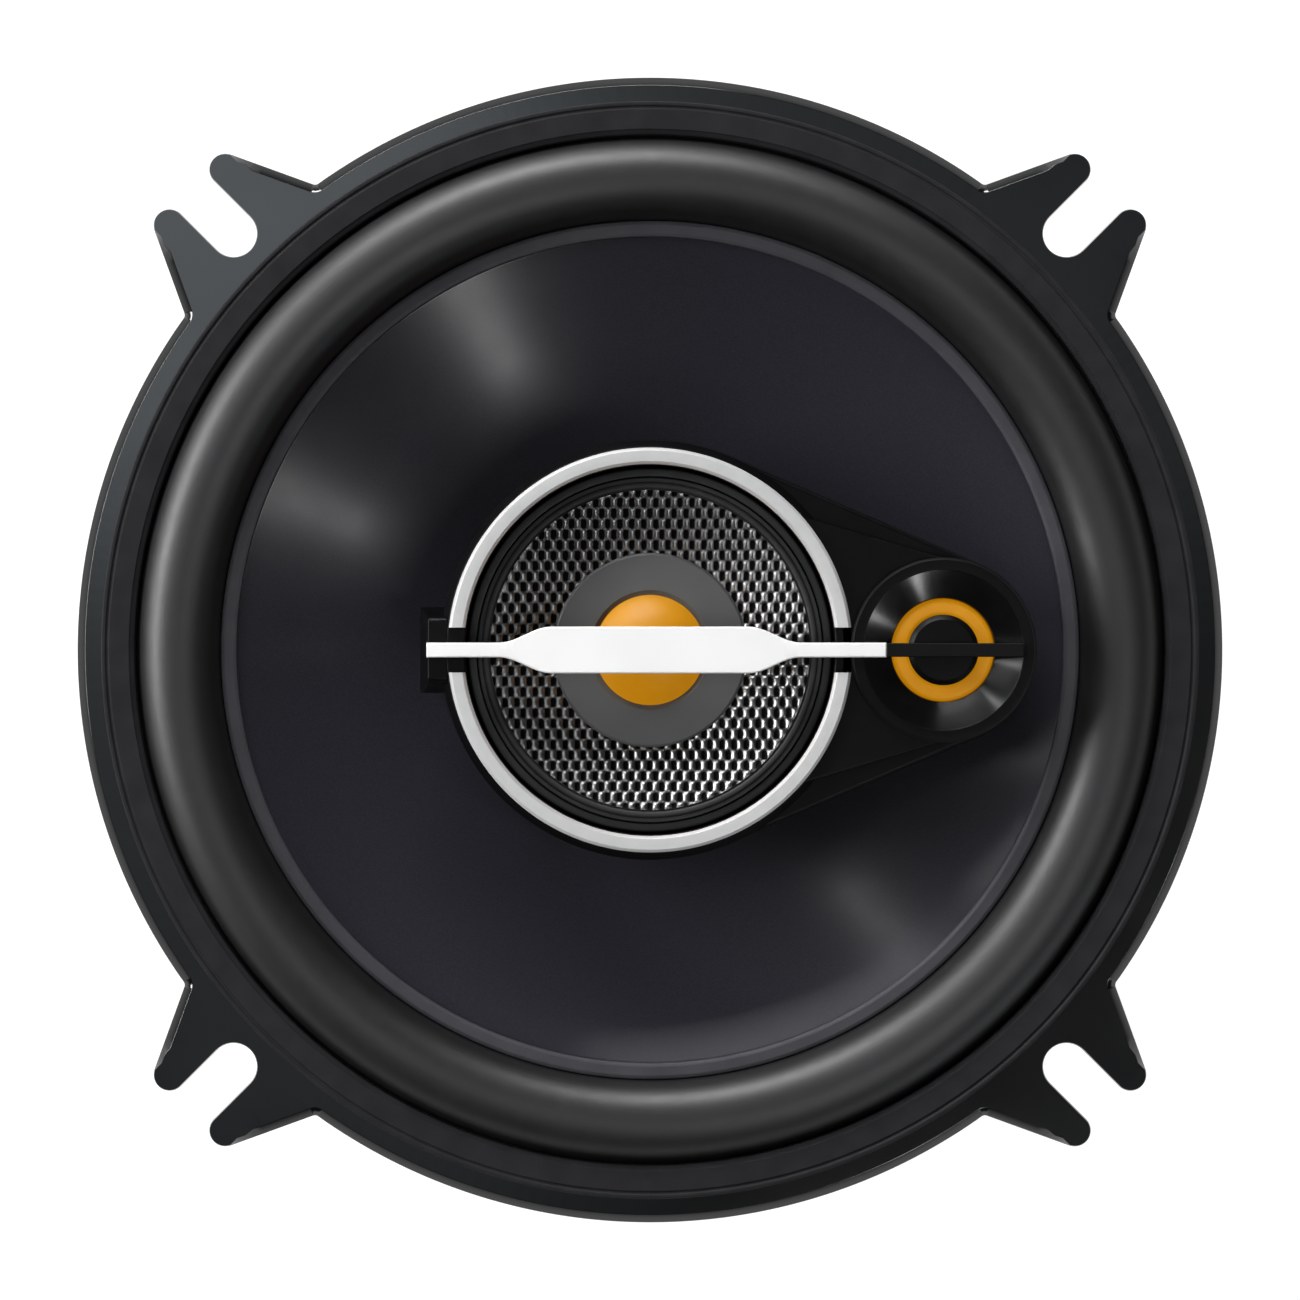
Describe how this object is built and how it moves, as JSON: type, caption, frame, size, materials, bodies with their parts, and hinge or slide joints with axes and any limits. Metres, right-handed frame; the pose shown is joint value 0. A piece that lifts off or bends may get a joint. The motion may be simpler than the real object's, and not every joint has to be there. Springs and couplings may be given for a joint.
{
  "type": "coaxial car speaker",
  "caption": "Round coaxial car speaker: slotted-ear pressed frame, cone with rubber roll edge, and a bridged pod with tweeter and super tweeter.",
  "frame": {"origin": "centre of the mounting plane, the flat rear face of the flange, on the speaker's axis", "axes": "+Z along the speaker's axis, out of its face; +X from the axis to the super tweeter; +Y up in the front view"},
  "size_m": [0.134, 0.134, 0.0584],
  "materials": {
    "frame_paint": "gloss black coat",
    "gasket_rubber": "fine matt",
    "roll_rubber": "satin",
    "edge_adhesive": "satin",
    "cone_polymer": "smooth gloss",
    "former_film": "satin",
    "winding": "enamelled",
    "spider_cloth": "woven, resin stiffened",
    "plated_steel": "zinc plated",
    "ferrite": "ground ceramic",
    "post_alloy": "turned",
    "board_laminate": "satin",
    "rivet_steel": "plated",
    "terminal_brass": "stamped",
    "capacitor_sleeve": "shrink sleeve",
    "tinned_wire": "tinned",
    "tinsel_braid": "braided",
    "wire_sleeve": "satin",
    "pod_black": "fine satin",
    "silver_trim": "metallic silver",
    "bar_white": "metallic white",
    "bar_black": "satin",
    "nickel_magnet": "nickel plated",
    "frame_black": "matt",
    "tweeter_rubber": "satin",
    "woven_black": "woven relief",
    "disc_grey": "satin",
    "gold_dome": "metallic amber",
    "horn_black": "high gloss"
  },
  "bodies": {
    "frame": {"basket": "frame_paint", "gasket": "gasket_rubber", "top_plate": "plated_steel", "magnet_ring": "ferrite", "back_yoke": "plated_steel", "basket_rivets": "plated_steel", "tweeter_post": "post_alloy", "post_nut": "plated_steel", "terminal_board": "board_laminate", "board_rivets": "rivet_steel", "positive_terminal": "terminal_brass", "negative_terminal": "terminal_brass", "terminal_rivets": "terminal_brass", "capacitor": "capacitor_sleeve", "capacitor_leads": "tinned_wire", "tinsel_leads": "tinsel_braid", "tweeter_leads": "wire_sleeve", "pod_housing": "pod_black", "upper_trim": "silver_trim", "lower_trim": "silver_trim", "name_bar": "bar_white", "cross_bar": "bar_black", "tweeter_yoke": "plated_steel", "tweeter_magnet": "nickel_magnet", "tweeter_pole_plate": "plated_steel", "tweeter_frame": "frame_black", "super_yoke": "plated_steel", "super_magnet": "nickel_magnet", "super_horn": "horn_black", "super_plug": "horn_black", "super_leads": "wire_sleeve"},
    "cone_assembly": {"surround": "roll_rubber", "edge_ring": "edge_adhesive", "cone": "cone_polymer", "coil_former": "former_film", "voice_coil": "winding", "spider": "spider_cloth"},
    "tweeter_diaphragm": {"tweeter_surround": "tweeter_rubber", "tweeter_cone": "woven_black", "tweeter_disc": "disc_grey", "tweeter_dome": "gold_dome", "tweeter_coil": "winding"},
    "super_diaphragm": {"super_dome": "gold_dome", "super_coil": "winding"}
  },
  "joints": [
    {"name": "cone_travel", "type": "slide", "parent": "frame", "child": "cone_assembly", "axis": [0, 0, 1], "range_m": [-0.0035, 0.0035], "stiffness_N_per_m": 2850, "deforming": ["surround", "spider", "tinsel_leads"]},
    {"name": "tweeter_travel", "type": "slide", "parent": "frame", "child": "tweeter_diaphragm", "axis": [0, 0, 1], "range_m": [-0.0003, 0.0003], "stiffness_N_per_m": 5000, "deforming": ["tweeter_surround"]},
    {"name": "super_tweeter_travel", "type": "slide", "parent": "frame", "child": "super_diaphragm", "axis": [0, 0, 1], "range_m": [-0.0001, 0.0001], "stiffness_N_per_m": 3000}
  ]
}
